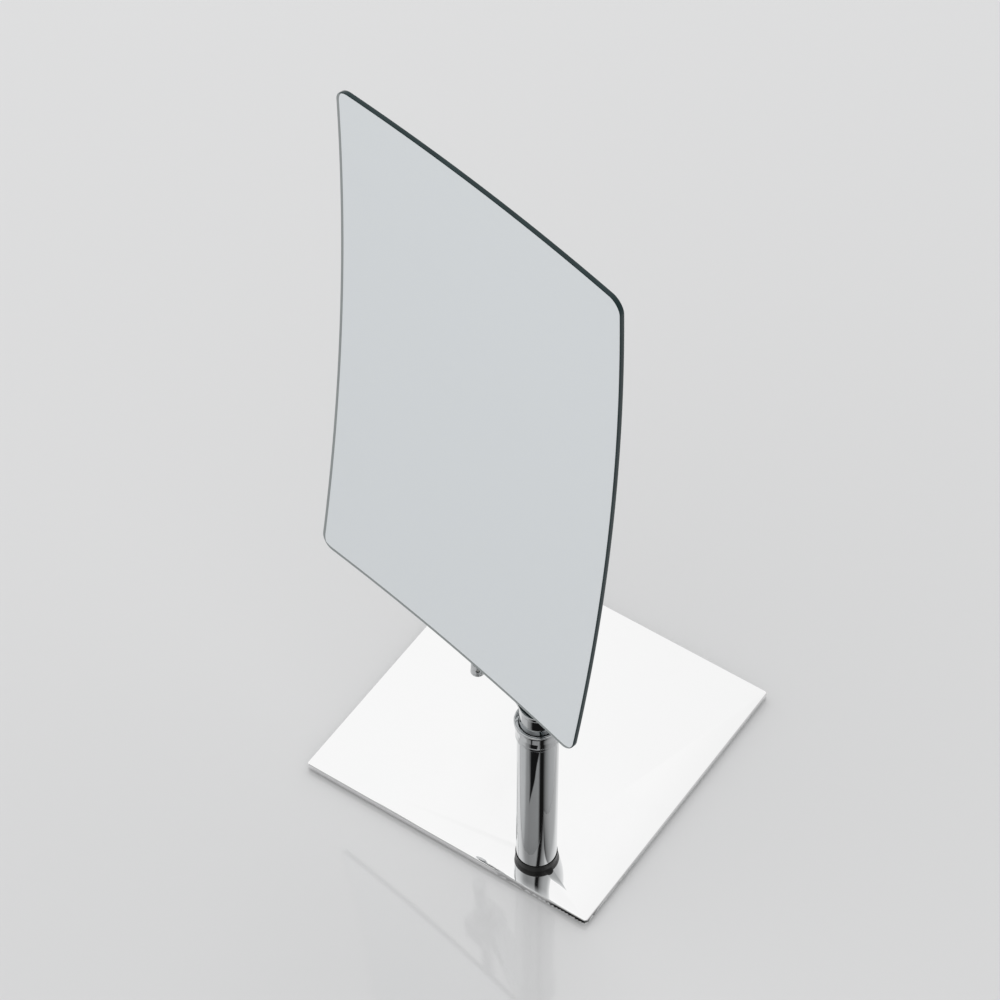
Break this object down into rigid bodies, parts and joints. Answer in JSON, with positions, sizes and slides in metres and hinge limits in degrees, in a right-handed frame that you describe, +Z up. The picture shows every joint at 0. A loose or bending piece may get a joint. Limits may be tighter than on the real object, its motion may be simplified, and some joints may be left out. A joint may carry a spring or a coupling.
{
  "type": "countertop mirror",
  "caption": "Tabletop fitting mirror: frameless dished glass on a sliding, tilting stem, held by a swing arm on a telescopic chrome pole in a square polished base.",
  "frame": {"origin": "centre of the square base on the plane that its rubber mat rests on", "axes": "+Z up, front of the base towards -Y, pole at the front right (+X, -Y)"},
  "size_m": [0.216, 0.2, 0.5026],
  "materials": {
    "polished_base": "mirror polished",
    "chrome": "bright chrome plate",
    "zinc_steel": "zinc plated, satin",
    "black_plastic": "black moulded acetal and nylon",
    "black_rubber": "black rubber, matt",
    "alloy": "turned and milled, satin",
    "foam_tape": "closed-cell adhesive foam",
    "mirror_glass": "silvered glass with ground edges"
  },
  "bodies": {
    "base": {"base_plate": "polished_base", "base_mat": "black_rubber", "foot_screw": "zinc_steel", "foot_gasket": "black_plastic", "foot_plug": "alloy", "lower_tube": "chrome", "pole_collar": "chrome", "collar_bush": "black_plastic"},
    "glide": {"pole_glide": "black_plastic"},
    "pole": {"upper_tube": "chrome", "swivel_screw": "zinc_steel", "lower_plug": "alloy", "top_plug": "alloy", "swing_arm": "chrome", "arm_screw": "zinc_steel"},
    "clamp": {"stem_clamp": "alloy", "inner_friction_washer": "black_plastic", "outer_friction_washer": "black_plastic", "tilt_screw": "zinc_steel", "pinch_screw": "zinc_steel"},
    "bush": {"stem_bush": "black_plastic", "bush_clip": "zinc_steel"},
    "mirror": {"stem": "chrome", "stem_end_cap": "chrome", "end_cap_screw": "zinc_steel", "mirror_glass": "mirror_glass", "lower_foam_pad": "foam_tape", "lower_bracket": "alloy", "lower_bracket_screw": "zinc_steel", "upper_foam_pad": "foam_tape", "upper_bracket": "alloy", "upper_bracket_screw": "zinc_steel"}
  },
  "joints": [
    {"name": "pole_height", "type": "slide", "parent": "base", "child": "glide", "axis": [0, 0, 1], "range_m": [0, 0.07]},
    {"name": "pole_swivel", "type": "hinge", "parent": "glide", "child": "pole", "pos_m": [0.05, -0.077, 0.1], "axis": [0, 0, 1], "continuous": true},
    {"name": "head_tilt", "type": "hinge", "parent": "pole", "child": "clamp", "pos_m": [-0.00892, -0.04631, 0.16061], "axis": [-0.9769, 0.2139, 0], "range_deg": [-3, 15]},
    {"name": "stem_turn", "type": "hinge", "parent": "clamp", "child": "bush", "pos_m": [-0.00892, -0.04631, 0.16061], "axis": [0.016, 0.0732, 0.9972], "range_deg": [-35, 35]},
    {"name": "stem_height", "type": "slide", "parent": "bush", "child": "mirror", "axis": [0.016, 0.0732, 0.9972], "range_m": [0, 0.025]}
  ]
}
